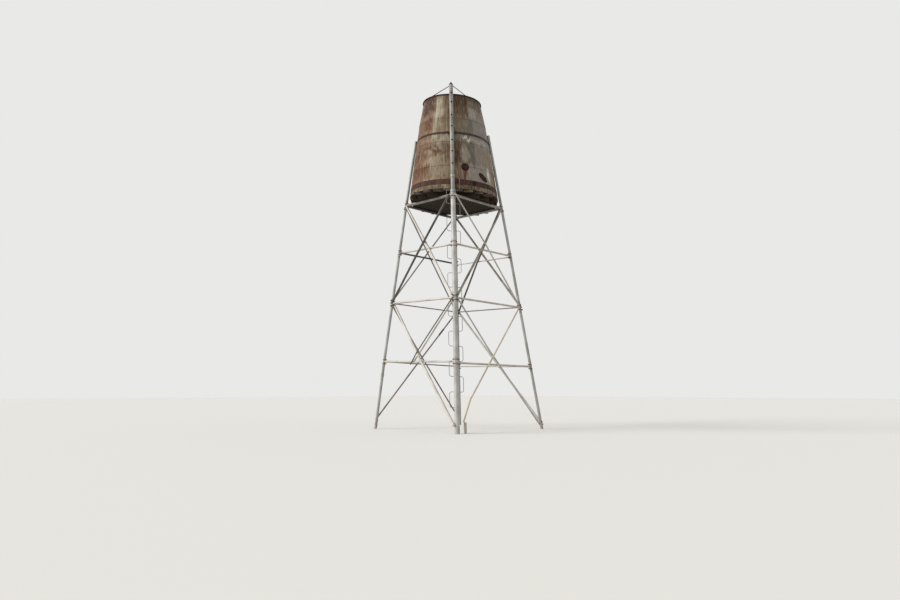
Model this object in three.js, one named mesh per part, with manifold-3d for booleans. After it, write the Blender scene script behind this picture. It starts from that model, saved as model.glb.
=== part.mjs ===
// A farm water tower: four steel pipe legs with rails and cross braces, a board deck,
// and a tapered sheet-steel tank. Millimetres, +Z up, the ground at Z = 0.
// The sides of the plan face X and Y. The front right leg carries the climbing rod.

import * as THREE from 'three';
import { mergeVertices } from 'three/addons/utils/BufferGeometryUtils.js';
import Module from 'manifold-3d';

const wasm = await Module();
wasm.setup();

// Clearance between neighbouring pieces, and how near two corners are to be one
const GAP = 0.3;
const MERGE_DISTANCE = 0.001;

// The hoop ties the tops of the legs to the tank. The legs are set out from this height.
const HOOP_HEIGHT = 6348;
const HOOP_TOP = 6385;
const HOOP_DEPTH = 50;

// The legs: distance of their inner faces from the tower's axis at the hoop, along the plan's
// diagonal, and how much that distance grows for each millimetre further down
const LEG_INNER_AT_HOOP = 826.5;
const LEG_TAPER = 0.1505;
const NEAR_LEG_TAPER = 0.148;
const LEG_RADIUS = 30.15;
const LEG_TOP = 6420;
const BACK_RIGHT_LEG_TOP = 6600;
const FRONT_LEFT_LEG_BOW = 17;
const CUT_LENGTH = 200;

// The front right leg: a stout pipe, a sleeve at the deck and a thinner mast above it
const NEAR_LEG_RADIUS = 50.8;
const SLEEVE_RADIUS = 56;
const SLEEVE_BOTTOM = 4862;
const SLEEVE_TOP = 5008;
const MAST_RADIUS = 44.5;
const MAST_TOP = 7498;
const CAP_RADIUS = 46;
const CAP_SHOULDER = 7508;
const CAP_TIP = 7572;
const CAP_TIP_RADIUS = 6;

// Two rods stay the top of the mast to the rim
const STAY_RADIUS = 8;
const STAYS = {
  left: { angle: -118, top: 7498 },
  right: { angle: 52, top: 7512 },
};

// The frame has racked: it leans to the front left leg, and its rings fall to the back right leg
const LEAN = 0.0202;
const RING_FALL = 0.0345;
const GROUND_BELOW_AXIS_LEVEL = 62;

// Heights of the four rings of rails, and where the lowest braces meet the legs
const RING_HEIGHT = { lower: 1347, middle: 2654, upper: 3810, deck: 4900 };
const FOOT_JOINT = 90;

// Pipe sizes of the rails, and the rails that are off their ring: how far they stand inward,
// and how far their left and right ends lie below it
const RAIL_RADIUS = { lower: 21.2, middle: 21.2, upper: 21.2, deck: 30.2 };
const LIGHT_RAIL_RADIUS = 13.35;
const LIGHT_RAILS = [
  'rail_lower_back', 'rail_lower_left', 'rail_middle_back', 'rail_middle_left', 'rail_upper_back',
];
const RAIL_SHIFTS = {
  rail_lower_right: { drops: [28, 0] },
  rail_upper_front: { inward: 46 },
  rail_upper_back: { drops: [25, 25] },
};

// Pipe sizes of the braces
const BRACE_RADIUS = 24.2;
const MIDDLING_BRACE_RADIUS = 21.2;
const STOUT_BRACE_RADIUS = 27;
const LIGHT_BRACE_RADIUS = 16.8;
const SHORT_BRACE_RADIUS = 18;
const OUTER_BRACE_RADIUS = 12;

// Each brace runs from a top leg to a bottom leg. An offset is the distance of its centre line
// outside the side's own plane, at its top end, at a bend on the way and at its bottom end.
// Bends and early ends are placed by their share of the way down, and aside is how far they
// lie back towards the top leg. An inset moves the top end inward.
const UPPER_BRACES = {
  front: {
    left: { radius: BRACE_RADIUS, offset: [50, 48.9, 18], inset: 70, bend: 0.56 },
    right: { radius: BRACE_RADIUS, offset: [0, 0, 54], bend: 0.5 },
  },
  right: {
    left: { radius: BRACE_RADIUS, offset: [-2, 46, 46], bend: 0.42 },
    right: { radius: LIGHT_BRACE_RADIUS, offset: [73, 87.5, 10], bend: 0.433 },
  },
  back: {
    left: { radius: BRACE_RADIUS, offset: [49, 49] },
    right: { radius: MIDDLING_BRACE_RADIUS, offset: [-41.3, -39, 41.3], bend: 0.51 },
  },
  left: {
    left: { radius: LIGHT_BRACE_RADIUS, offset: [30, 38.5, 41.3], bend: 0.45 },
    right: { radius: LIGHT_BRACE_RADIUS, offset: [70, 73, 60], bend: 0.43 },
  },
};
const LOWER_BRACES = {
  front: {
    left: { radius: SHORT_BRACE_RADIUS, offset: [8, -7, 0], bend: 0.44, end: 0.51 },
    left_outer: { radius: OUTER_BRACE_RADIUS, offset: [64, 80, 34], bend: 0.43, end: 0.535 },
    right: { radius: STOUT_BRACE_RADIUS, offset: [-40, 50, 78.2], bend: 0.49 },
  },
  right: {
    left: {
      radius: LIGHT_BRACE_RADIUS,
      offset: [38.4, 38.5, 20],
      inset: 50,
      bend: 0.8,
      bendAside: -51,
      end: 0.972,
      endAside: 100,
    },
    right: { radius: LIGHT_BRACE_RADIUS, offset: [65.1, -38.5, -38.5], bend: 0.4 },
  },
  back: {
    left: { radius: BRACE_RADIUS, offset: [49, 49] },
  },
  left: {
    left: { radius: LIGHT_BRACE_RADIUS, offset: [41.3, 73, 41.3], bend: 0.44 },
    right: { radius: LIGHT_BRACE_RADIUS, offset: [30, 38.6, 20], bend: 0.45 },
  },
};

// A short stake of pipe beside the front right leg, which the bent brace comes down to
const STAKE_RADIUS = 30;
const STAKE_HEIGHT = 222;
const STAKE_ASIDE = 218;

// The tank: four equal courses of sheet that taper upward and belly a little. The radii are
// those of the wall's outside at the foot of each course and at the rim.
const TANK_BOTTOM = 5061;
const TANK_RADII = [1000, 925, 843, 760, 650];
const COURSE_HEIGHT = 563;
const COURSE_COUNT = TANK_RADII.length - 1;
const SHEET = 3;
const LAP = 35;
const FLOOR_THICKNESS = 5;
const RIM_RADIUS = 12;
const BAND_HEIGHT = 5214;
const BAND_DEPTH = 118;
const BAND_THICKNESS = 3.5;

// Plates bolted over two old pipe holes in the lowest course: a round one, and an oval one
// whose long axis falls to the right
const PORTS = {
  left: { angle: -28.1, height: 5566, halfLength: 86, halfWidth: 86, fall: 0 },
  right: { angle: -1.8, height: 5395, halfLength: 130, halfWidth: 60, fall: 38 },
};
const PORT_STANDS_OUT = 14;

// The deck: two crossed layers of boards between the top rails and the tank. Each layer is
// sawn off in steps near a circle, and the upper one has a narrow last board.
const BOARD_WIDTH = 218;
const BOARD_ROWS = 4;
const LOWER_DECK_RADIUS = 958;
const UPPER_DECK_RADIUS = 1000;
const LAST_BOARD_EDGE = 982;

// The climbing rod behind the front right leg
const ROD_RADIUS = 6;
const RUNG_SPACING = 304.8;
const FIRST_RUNG = 447;
const RUNG_LOOPS = 16;
const LOOP_REACH = 140;
const LOOP_CORNER = 36;

// Side counts of the round sections
const LEG_SIDES = 16;
const RAIL_SIDES = 12;
const ROD_SIDES = 6;
const RIM_SIDES = 8;
const TANK_SIDES = 64;
const PORT_SIDES = 20;

const ROOT_HALF = Math.SQRT1_2;
const LEGS = {
  front_left: {
    corner: [-1, -1],
    radius: LEG_RADIUS,
    taper: LEG_TAPER,
    bow: FRONT_LEFT_LEG_BOW,
    stops: [-CUT_LENGTH, 0, RING_HEIGHT.lower, RING_HEIGHT.deck, HOOP_HEIGHT, LEG_TOP],
  },
  front_right: {
    corner: [1, -1],
    radius: MAST_RADIUS,
    taper: NEAR_LEG_TAPER,
    bow: 0,
    stops: [-CUT_LENGTH, SLEEVE_BOTTOM],
  },
  back_right: {
    corner: [1, 1],
    radius: LEG_RADIUS,
    taper: LEG_TAPER,
    bow: 0,
    stops: [-CUT_LENGTH, BACK_RIGHT_LEG_TOP],
  },
  back_left: {
    corner: [-1, 1],
    radius: LEG_RADIUS,
    taper: LEG_TAPER,
    bow: 0,
    stops: [-CUT_LENGTH, LEG_TOP],
  },
};

// Each side as seen from outside: its left leg, its right leg and its outward direction
const SIDES = {
  front: { left: 'front_left', right: 'front_right', out: new THREE.Vector3(0, -1, 0) },
  right: { left: 'front_right', right: 'back_right', out: new THREE.Vector3(1, 0, 0) },
  back: { left: 'back_right', right: 'back_left', out: new THREE.Vector3(0, 1, 0) },
  left: { left: 'back_left', right: 'front_left', out: new THREE.Vector3(-1, 0, 0) },
};

const galvanised = new THREE.MeshStandardMaterial({ color: 0xb4b2aa, roughness: 0.6, metalness: 0.6 });
const paintedPipe = new THREE.MeshStandardMaterial({ color: 0xcfcabb, roughness: 0.65, metalness: 0.2 });
const weatheredSheet = new THREE.MeshStandardMaterial({ color: 0x8a7a66, roughness: 0.75, metalness: 0.4 });
const rustedSteel = new THREE.MeshStandardMaterial({ color: 0x4a2f25, roughness: 0.9, metalness: 0.3 });
const blackSteel = new THREE.MeshStandardMaterial({ color: 0x2b2724, roughness: 0.8, metalness: 0.4 });
const oldWood = new THREE.MeshStandardMaterial({ color: 0x4d4238, roughness: 0.95, metalness: 0 });

// The racking as one matrix, which also lifts the lowest foot to the ground
const racking = new THREE.Matrix4().set(
  1, 0, -LEAN * ROOT_HALF, 0,
  0, 1, -LEAN * ROOT_HALF, 0,
  -RING_FALL * ROOT_HALF, -RING_FALL * ROOT_HALF, 1, GROUND_BELOW_AXIS_LEVEL,
  0, 0, 0, 1,
);

const tower = new THREE.Group();
tower.name = 'water_tower';
tower.matrixAutoUpdate = false;
tower.matrix.copy(racking);

function addPiece(name, geometry, material) {
  const mesh = new THREE.Mesh(geometry, material.clone());
  mesh.name = name;
  tower.add(mesh);
}

// Closed three.js geometry to a solid that can be cut, and back
function toSolid(geometry) {
  const plain = geometry.clone();
  plain.deleteAttribute('normal');
  plain.deleteAttribute('uv');
  const merged = mergeVertices(plain, MERGE_DISTANCE);
  const kept = [];
  const index = merged.index.array;
  for (let i = 0; i < index.length; i += 3) {
    const [a, b, c] = [index[i], index[i + 1], index[i + 2]];
    if (a !== b && b !== c && c !== a) {
      kept.push(a, b, c);
    }
  }
  const vertProperties = merged.attributes.position.array;
  return new wasm.Manifold(new wasm.Mesh({ numProp: 3, vertProperties, triVerts: new Uint32Array(kept) }));
}

function toGeometry(solid) {
  const mesh = solid.getMesh();
  const geometry = new THREE.BufferGeometry();
  geometry.setAttribute('position', new THREE.BufferAttribute(mesh.vertProperties, 3));
  geometry.setIndex(new THREE.BufferAttribute(mesh.triVerts, 1));
  return geometry;
}

// The cuts at a joint can leave slivers beyond it, which are dropped
function largestPart(solid) {
  return solid.decompose().sort((a, b) => b.volume() - a.volume())[0];
}

function roundBar(start, end, radius, sides, endRadius = radius) {
  const along = end.clone().sub(start);
  const geometry = new THREE.CylinderGeometry(endRadius, radius, along.length(), sides, 1);
  const upright = new THREE.Vector3(0, 1, 0);
  geometry.applyQuaternion(new THREE.Quaternion().setFromUnitVectors(upright, along.clone().normalize()));
  geometry.translate((start.x + end.x) / 2, (start.y + end.y) / 2, (start.z + end.z) / 2);
  return geometry;
}

function ring(profile) {
  const points = profile.map(([r, z]) => new THREE.Vector2(r, z));
  points.push(points[0].clone());
  const geometry = new THREE.LatheGeometry(points, TANK_SIDES);
  geometry.rotateX(Math.PI / 2);
  return geometry;
}

// Centre line of a leg at a height, before racking. A bow is in full from the lower ring to the
// deck and fades out to the ground and to the hoop.
function legPoint(name, height) {
  const { corner, radius, taper, bow } = LEGS[name];
  const fromGround = height / RING_HEIGHT.lower;
  const fromHoop = (HOOP_HEIGHT - height) / (HOOP_HEIGHT - RING_HEIGHT.deck);
  const share = THREE.MathUtils.clamp(Math.min(fromGround, fromHoop), 0, 1);
  const outward = LEG_INNER_AT_HOOP + radius + taper * (HOOP_HEIGHT - height) + bow * share;
  return new THREE.Vector3(corner[0] * outward, corner[1] * outward, 0)
    .multiplyScalar(ROOT_HALF)
    .setZ(height);
}

function courseAt(height) {
  return Math.min(Math.floor((height - TANK_BOTTOM) / COURSE_HEIGHT), COURSE_COUNT - 1);
}

// How much the wall's radius shrinks for each millimetre of height
function tankSlope(height) {
  const course = courseAt(height);
  return (TANK_RADII[course] - TANK_RADII[course + 1]) / COURSE_HEIGHT;
}

function tankRadius(height) {
  const course = courseAt(height);
  const foot = TANK_BOTTOM + course * COURSE_HEIGHT;
  return TANK_RADII[course] - tankSlope(height) * (height - foot);
}

// Everything below the ground plane, in the frame before racking
const groundBlock = (() => {
  const side = 4 * LEG_INNER_AT_HOOP + 3 * CUT_LENGTH;
  const block = new THREE.BoxGeometry(side, side, side);
  block.translate(0, 0, -side / 2);
  block.applyMatrix4(racking.clone().invert());
  return toSolid(block);
})();

// A zigzag path given by its corner points, sampled at those points only
class BentPath extends THREE.Curve {
  constructor(points) {
    super();
    this.points = points;
  }

  getPoint(t) {
    const place = t * (this.points.length - 1);
    const i = Math.min(Math.floor(place), this.points.length - 2);
    return this.points[i].clone().lerp(this.points[i + 1], place - i);
  }

  getPointAt(u) {
    return this.getPoint(u);
  }

  getTangentAt(u) {
    const i = Math.round(u * (this.points.length - 1));
    const before = this.points[Math.max(i - 1, 0)];
    const after = this.points[Math.min(i + 1, this.points.length - 1)];
    return after.clone().sub(before).normalize();
  }
}

// A many-sided bar along a path of straight runs
function sweptBar(points, radius, sides) {
  const section = new THREE.Shape();
  for (let i = 0; i < sides; i += 1) {
    const angle = (i / sides) * 2 * Math.PI;
    const x = radius * Math.cos(angle);
    const y = radius * Math.sin(angle);
    if (i === 0) {
      section.moveTo(x, y);
    } else {
      section.lineTo(x, y);
    }
  }
  section.closePath();
  return new THREE.ExtrudeGeometry(section, {
    steps: points.length - 1,
    extrudePath: new BentPath(points),
    bevelEnabled: false,
  });
}

// The same bar a gap wider and longer, to cut what meets it
function barCutter(points, radius, sides) {
  const longer = points.map((point) => point.clone());
  const last = points.length - 1;
  longer[0].add(points[0].clone().sub(points[1]).setLength(GAP));
  longer[last].add(points[last].clone().sub(points[last - 1]).setLength(GAP));
  return toSolid(sweptBar(longer, radius + GAP, sides));
}

// Legs as uncut bars a little fatter than the real ones, used to cut what meets them
const legCutters = {};
function addLegs() {
  for (const [name, { radius, stops }] of Object.entries(LEGS)) {
    const size = name === 'front_right' ? NEAR_LEG_RADIUS : radius;
    const points = stops.map((height) => legPoint(name, height));
    const leg = toSolid(sweptBar(points, size, LEG_SIDES)).subtract(groundBlock);
    addPiece(`leg_${name}`, toGeometry(leg), paintedPipe);
    legCutters[name] = barCutter(points, size, LEG_SIDES);
  }
  const upperParts = [
    ['sleeve', SLEEVE_BOTTOM + GAP, SLEEVE_TOP, SLEEVE_RADIUS],
    ['mast', SLEEVE_TOP + GAP, MAST_TOP, MAST_RADIUS],
  ];
  for (const [part, bottom, top, radius] of upperParts) {
    const ends = [legPoint('front_right', bottom), legPoint('front_right', top)];
    addPiece(`leg_front_right_${part}`, sweptBar(ends, radius, LEG_SIDES), paintedPipe);
    legCutters.front_right = legCutters.front_right.add(barCutter(ends, radius, LEG_SIDES));
  }
}

// The pointed cap of the mast and the two rods that run from it down to the rim
function addMastTop() {
  const base = legPoint('front_right', MAST_TOP + GAP);
  const shoulder = legPoint('front_right', CAP_SHOULDER);
  const tip = legPoint('front_right', CAP_TIP);
  const body = toSolid(roundBar(base, shoulder, CAP_RADIUS, LEG_SIDES));
  const point = toSolid(roundBar(shoulder, tip, CAP_RADIUS, LEG_SIDES, CAP_TIP_RADIUS));
  addPiece('mast_cap', toGeometry(body.add(point)), blackSteel);
  const capCutter = toSolid(roundBar(base, tip, CAP_RADIUS + GAP, LEG_SIDES));
  const rimTop = TANK_BOTTOM + COURSE_COUNT * COURSE_HEIGHT;
  const reach = tankRadius(rimTop) + RIM_RADIUS;
  for (const [side, { angle, top }] of Object.entries(STAYS)) {
    const turn = THREE.MathUtils.degToRad(angle);
    const end = new THREE.Vector3(reach * Math.cos(turn), reach * Math.sin(turn), rimTop);
    const start = legPoint('front_right', top);
    const stay = toSolid(sweptBar([start, end], STAY_RADIUS, RAIL_SIDES))
      .subtract(capCutter)
      .subtract(legCutters.front_right)
      .subtract(toSolid(rimRing(GAP)))
      .subtract(wallCutter);
    addPiece(`stay_${side}`, toGeometry(stay), blackSteel);
  }
}

// The rod runs across behind the leg, out, up one spacing and back, to alternate sides
function climbingRodPoints() {
  const foot = legPoint('front_right', 0);
  const along = legPoint('front_right', HOOP_HEIGHT).sub(foot).normalize();
  const sideways = new THREE.Vector3(ROOT_HALF, ROOT_HALF, 0);
  const inward = along.clone().cross(sideways).normalize();
  if (inward.x > 0) {
    inward.negate();
  }
  const rise = 1 / along.z;
  const place = (across, height) => foot.clone()
    .addScaledVector(along, height * rise)
    .addScaledVector(sideways, across)
    .addScaledVector(inward, (height > SLEEVE_BOTTOM ? MAST_RADIUS : NEAR_LEG_RADIUS) + GAP + ROD_RADIUS);
  const points = [place(0, FIRST_RUNG)];
  for (let loop = 0; loop < RUNG_LOOPS; loop += 1) {
    const side = loop % 2 === 0 ? -1 : 1;
    const bottom = FIRST_RUNG + loop * RUNG_SPACING;
    const top = bottom + RUNG_SPACING;
    const near = side * (LOOP_REACH - LOOP_CORNER);
    const bend = LOOP_CORNER * (1 - ROOT_HALF);
    points.push(place(near, bottom));
    points.push(place(side * (LOOP_REACH - bend), bottom + bend));
    points.push(place(side * LOOP_REACH, bottom + LOOP_CORNER));
    points.push(place(side * LOOP_REACH, top - LOOP_CORNER));
    points.push(place(side * (LOOP_REACH - bend), top - bend));
    points.push(place(near, top));
  }
  points.push(place(0, FIRST_RUNG + RUNG_LOOPS * RUNG_SPACING));
  return points;
}

const rodCutter = toSolid(sweptBar(climbingRodPoints(), ROD_RADIUS + GAP, ROD_SIDES));

// Bars already placed at each leg, which cut the bars placed after them
const placedAt = { front_left: [], front_right: [], back_right: [], back_left: [] };

function addBar(name, points, radius, legNames, material) {
  let bar = toSolid(sweptBar(points, radius, RAIL_SIDES));
  for (const leg of legNames) {
    bar = bar.subtract(legCutters[leg]);
    if (leg === 'front_right') {
      bar = bar.subtract(rodCutter);
    }
    for (const other of placedAt[leg]) {
      bar = bar.subtract(other);
    }
  }
  for (const leg of legNames) {
    placedAt[leg].push(barCutter(points, radius, RAIL_SIDES));
  }
  addPiece(name, toGeometry(largestPart(bar)), material);
}

function addRails() {
  for (const [ringName, height] of Object.entries(RING_HEIGHT)) {
    for (const [sideName, { left, right, out }] of Object.entries(SIDES)) {
      const name = `rail_${ringName}_${sideName}`;
      const { inward = 0, drops = [0, 0] } = RAIL_SHIFTS[name] ?? {};
      const start = legPoint(left, height - drops[0]).addScaledVector(out, -inward);
      const end = legPoint(right, height - drops[1]).addScaledVector(out, -inward);
      const along = end.clone().sub(start).normalize();
      start.addScaledVector(along, LEGS[left].radius / 2);
      end.addScaledVector(along, -LEGS[right].radius / 2);
      const radius = LIGHT_RAILS.includes(name) ? LIGHT_RAIL_RADIUS : RAIL_RADIUS[ringName];
      addBar(name, [start, end], radius, [left, right], galvanised);
    }
  }
}

// Braces of one panel. Seen from outside its side, a brace falls to the left or to the right.
function addBraces(panelName, braces, top, bottom) {
  for (const [sideName, pair] of Object.entries(braces)) {
    const { left, right, out } = SIDES[sideName];
    for (const [fall, brace] of Object.entries(pair)) {
      const fallsLeft = fall.startsWith('left');
      const topLeg = fallsLeft ? right : left;
      const bottomLeg = fallsLeft ? left : right;
      const start = legPoint(topLeg, top);
      const finish = legPoint(bottomLeg, bottom);
      const along = legPoint(bottomLeg, top).sub(start).normalize();
      start.addScaledVector(along, brace.inset ?? 0);
      const shares = brace.bend ? [0, brace.bend, brace.end ?? 1] : [0, 1];
      const aside = [0, brace.bendAside ?? 0, brace.endAside ?? 0];
      const points = shares.map((share, i) => start.clone().lerp(finish, share)
        .addScaledVector(out, brace.offset[i])
        .addScaledVector(along, -aside[i]));
      const name = `brace_${panelName}_${sideName}_falling_${fall}`;
      addBar(name, points, brace.radius, [left, right], galvanised);
    }
  }
}

function addStake() {
  const foot = legPoint('front_right', 0);
  foot.y += STAKE_ASIDE;
  const top = foot.clone();
  foot.z = -CUT_LENGTH;
  top.z = STAKE_HEIGHT - GROUND_BELOW_AXIS_LEVEL;
  const stake = toSolid(sweptBar([foot, top], STAKE_RADIUS, RAIL_SIDES)).subtract(groundBlock);
  addPiece('stake_front_right', toGeometry(stake), galvanised);
  placedAt.front_right.push(barCutter([foot, top], STAKE_RADIUS, RAIL_SIDES));
}

// Boards of one layer as one outline, with a narrow last row where its outer edge is given
function boardLayer(layerRadius, bottom, thickness, lastEdge) {
  const rows = [];
  for (let row = 0; row < BOARD_ROWS; row += 1) {
    const middle = (row + 0.5) * BOARD_WIDTH;
    rows.push([row * BOARD_WIDTH, (row + 1) * BOARD_WIDTH, Math.sqrt(layerRadius ** 2 - middle ** 2)]);
  }
  if (lastEdge) {
    rows.push([BOARD_ROWS * BOARD_WIDTH, lastEdge, Math.sqrt(layerRadius ** 2 - lastEdge ** 2)]);
  }
  const upperRight = rows.flatMap(([low, high, reach]) => [[reach, low], [reach, high]]);
  const upperLeft = upperRight.map(([x, y]) => [-x, y]).reverse();
  const lowerLeft = upperRight.map(([x, y]) => [-x, -y]);
  const lowerRight = upperRight.map(([x, y]) => [x, -y]).reverse();
  const outline = [...upperRight, ...upperLeft, ...lowerLeft, ...lowerRight];
  const corners = outline.filter(([, y]) => y !== 0).map(([x, y]) => new THREE.Vector2(x, y));
  const geometry = new THREE.ExtrudeGeometry(new THREE.Shape(corners), {
    depth: thickness,
    bevelEnabled: false,
  });
  geometry.translate(0, 0, bottom);
  return geometry;
}

function addDeck() {
  const base = RING_HEIGHT.deck + RAIL_RADIUS.deck + GAP;
  const thickness = (TANK_BOTTOM - base - 3 * GAP) / 2;
  const lower = boardLayer(LOWER_DECK_RADIUS, base, thickness);
  lower.rotateZ(Math.PI / 4);
  const upper = boardLayer(UPPER_DECK_RADIUS, base + thickness + GAP, thickness, LAST_BOARD_EDGE);
  upper.rotateZ(-Math.PI / 4);
  addPiece('deck_lower_boards', lower, oldWood);
  addPiece('deck_upper_boards', upper, oldWood);
}

// One course of the tank's wall as a closed ring, made fatter by a margin where it cuts others
function courseRing(course, margin) {
  const low = TANK_BOTTOM + course * COURSE_HEIGHT;
  const high = low + COURSE_HEIGHT;
  const step = SHEET + GAP;
  const foot = course === 0
    ? [[tankRadius(low), low - margin]]
    : [[tankRadius(low - LAP) + step, low - LAP - margin], [tankRadius(low) + step, low]];
  const wall = [...foot, [tankRadius(high), high + margin]];
  const outside = wall.map(([radius, height]) => [radius + margin, height]);
  const inside = wall.map(([radius, height]) => [radius - SHEET - margin, height]);
  return ring([...outside, ...inside.reverse()]);
}

function rimRing(margin) {
  const height = TANK_BOTTOM + COURSE_COUNT * COURSE_HEIGHT - RIM_RADIUS;
  const centre = tankRadius(height) + 2 * GAP + RIM_RADIUS;
  const section = [];
  for (let i = 0; i < RIM_SIDES; i += 1) {
    const angle = (i / RIM_SIDES) * 2 * Math.PI;
    const reach = RIM_RADIUS + margin;
    section.push([centre + reach * Math.cos(angle), height + reach * Math.sin(angle)]);
  }
  return ring(section);
}

const wallCutter = Array.from({ length: COURSE_COUNT }, (_, course) => toSolid(courseRing(course, GAP)))
  .reduce((wall, course) => wall.add(course));

function addTank() {
  for (let course = 0; course < COURSE_COUNT; course += 1) {
    addPiece(`tank_course_${course + 1}`, courseRing(course, 0), weatheredSheet);
  }
  const floorRadius = tankRadius(TANK_BOTTOM + FLOOR_THICKNESS) - SHEET - GAP;
  const floor = new THREE.CylinderGeometry(floorRadius, floorRadius, FLOOR_THICKNESS, TANK_SIDES, 1);
  floor.rotateX(Math.PI / 2);
  floor.translate(0, 0, TANK_BOTTOM + FLOOR_THICKNESS / 2);
  addPiece('tank_floor', floor, rustedSteel);
}

// Each plate stands square to the slope of the wall
function addPorts() {
  for (const [side, { angle, height, halfLength, halfWidth, fall }] of Object.entries(PORTS)) {
    const turn = THREE.MathUtils.degToRad(angle);
    const outward = new THREE.Vector3(Math.cos(turn), Math.sin(turn), tankSlope(height)).normalize();
    const sideways = new THREE.Vector3(-Math.sin(turn), Math.cos(turn), 0);
    const down = sideways.clone().cross(outward);
    const plate = new THREE.CylinderGeometry(1, 1, SHEET + PORT_STANDS_OUT, PORT_SIDES, 1);
    plate.scale(halfLength, 1, halfWidth);
    plate.translate(0, (PORT_STANDS_OUT - SHEET) / 2, 0);
    plate.rotateY(-THREE.MathUtils.degToRad(fall));
    plate.applyMatrix4(new THREE.Matrix4().makeBasis(sideways, outward, down));
    const reach = tankRadius(height);
    plate.translate(reach * Math.cos(turn), reach * Math.sin(turn), height);
    const seated = toSolid(plate).subtract(wallCutter);
    addPiece(`tank_port_${side}`, toGeometry(largestPart(seated)), weatheredSheet);
  }
}

// A flat ring round the tank that follows its taper
function hoop(height, depth, inner, thickness) {
  const low = height - depth / 2;
  const high = height + depth / 2;
  return ring([
    [tankRadius(low) + inner, low],
    [tankRadius(low) + inner + thickness, low],
    [tankRadius(high) + inner + thickness, high],
    [tankRadius(high) + inner, high],
  ]);
}

function addHoops() {
  const legInner = LEG_INNER_AT_HOOP - LEG_TAPER * (HOOP_TOP - HOOP_HEIGHT);
  const thickness = legInner - tankRadius(HOOP_TOP) - 4 * GAP - SHEET;
  addPiece('tank_hoop', hoop(HOOP_TOP - HOOP_DEPTH / 2, HOOP_DEPTH, SHEET, thickness), blackSteel);
  addPiece('tank_bottom_band', hoop(BAND_HEIGHT, BAND_DEPTH, GAP, BAND_THICKNESS), rustedSteel);
  addPiece('tank_rim', rimRing(0), blackSteel);
}

addLegs();
addMastTop();
addPiece('climbing_rod', sweptBar(climbingRodPoints(), ROD_RADIUS, ROD_SIDES), galvanised);
addRails();
addStake();
addBraces('upper', UPPER_BRACES, RING_HEIGHT.deck, RING_HEIGHT.middle);
addBraces('lower', LOWER_BRACES, RING_HEIGHT.middle, FOOT_JOINT);
addDeck();
addTank();
addPorts();
addHoops();

// The origin is at the middle of the tower's box, on the ground
tower.updateMatrixWorld(true);
const middle = new THREE.Box3().setFromObject(tower, true).getCenter(new THREE.Vector3());
tower.matrix.premultiply(new THREE.Matrix4().makeTranslation(-middle.x, -middle.y, 0));
tower.updateMatrixWorld(true);

export default tower;
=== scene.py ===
# A farm water tower: the looks of its pipes, boards and rusted sheet tank.
# Metres, in the part's own frame: +Z up, the ground at Z = 0, the sides of the plan facing X and Y.

import math
import random

import bmesh
import bpy
from mathutils import Matrix, Vector


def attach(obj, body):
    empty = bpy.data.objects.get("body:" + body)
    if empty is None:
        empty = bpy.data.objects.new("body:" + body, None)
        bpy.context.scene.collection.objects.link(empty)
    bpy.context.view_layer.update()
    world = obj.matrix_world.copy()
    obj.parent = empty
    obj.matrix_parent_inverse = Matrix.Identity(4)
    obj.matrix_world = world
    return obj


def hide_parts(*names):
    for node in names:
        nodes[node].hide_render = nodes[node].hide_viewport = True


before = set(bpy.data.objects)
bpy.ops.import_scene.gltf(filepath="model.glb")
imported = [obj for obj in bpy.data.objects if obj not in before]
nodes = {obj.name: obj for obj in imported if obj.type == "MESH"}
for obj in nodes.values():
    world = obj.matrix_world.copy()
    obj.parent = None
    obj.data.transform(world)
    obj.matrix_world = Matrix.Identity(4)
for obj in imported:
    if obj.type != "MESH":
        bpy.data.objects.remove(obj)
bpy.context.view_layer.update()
random.seed(7)

# The photograph's view: where the eye stands, which way it looks, and its lens
EYE = Vector((11.46922, -11.08915, 0.863))
LOOK_YAW = math.radians(136.623)
LOOK_UP = math.radians(7.053)
LENS_MM = 28.8
SENSOR_MM = 36

# The racking of the frame: it leans to the front left leg and its rings fall to the back right
LEAN = 0.0202 / math.sqrt(2)
RING_FALL = 0.0345 / math.sqrt(2)
AXIS_AT_GROUND = Vector((-0.00372, 0.01683, 0.062))
RACKING = Matrix((
    (1, 0, -LEAN, AXIS_AT_GROUND.x),
    (0, 1, -LEAN, AXIS_AT_GROUND.y),
    (-RING_FALL, -RING_FALL, 1, AXIS_AT_GROUND.z),
    (0, 0, 0, 1),
))
UPRIGHT = RACKING.inverted()

# The legs before racking. Each has the radius of its pipe at the hoop and that of its body at the
# rings, how far it moves out for each metre down, and how far it bows out below the hoop.
LEG_INNER_AT_HOOP = 0.8265
HOOP_HEIGHT = 6.348
MAST_PIPE = 0.0445
THIN_LEG = {"radius": 0.03015, "body": 0.03015, "taper": 0.1505, "bow": 0}
LEGS = {
    "front_left": {**THIN_LEG, "corner": (-1, -1), "bow": 0.017},
    "front_right": {"corner": (1, -1), "radius": MAST_PIPE, "body": 0.0508, "taper": 0.148, "bow": 0},
    "back_right": {**THIN_LEG, "corner": (1, 1)},
    "back_left": {**THIN_LEG, "corner": (-1, 1)},
}
RINGS = {"lower": 1.347, "middle": 2.654, "upper": 3.81, "deck": 4.9}
SLEEVE = (4.862, 5.008)

# The tank before racking: the wall's radius at the foot of each course of sheet and at the rim,
# a course's depth, how far it laps over the one below, half the line of grime under that lap, the
# sheet's thickness, and the gap between pieces that touch
TANK_BOTTOM = 5.061
TANK_RADII = (1.0, 0.925, 0.843, 0.76, 0.65)
LAST_COURSE = len(TANK_RADII) - 2
COURSE = 0.563
LAP = 0.035
LAP_LINE = 0.004
SHEET = 0.003
GAP = 0.0003

# The deck: the radius of the rails under it, and its boards
DECK_RAIL = 0.0302
BOARD_WIDTH = 0.218
BOARDS_A_SIDE = 4

MM_TO_A_METRE = 1000


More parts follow.
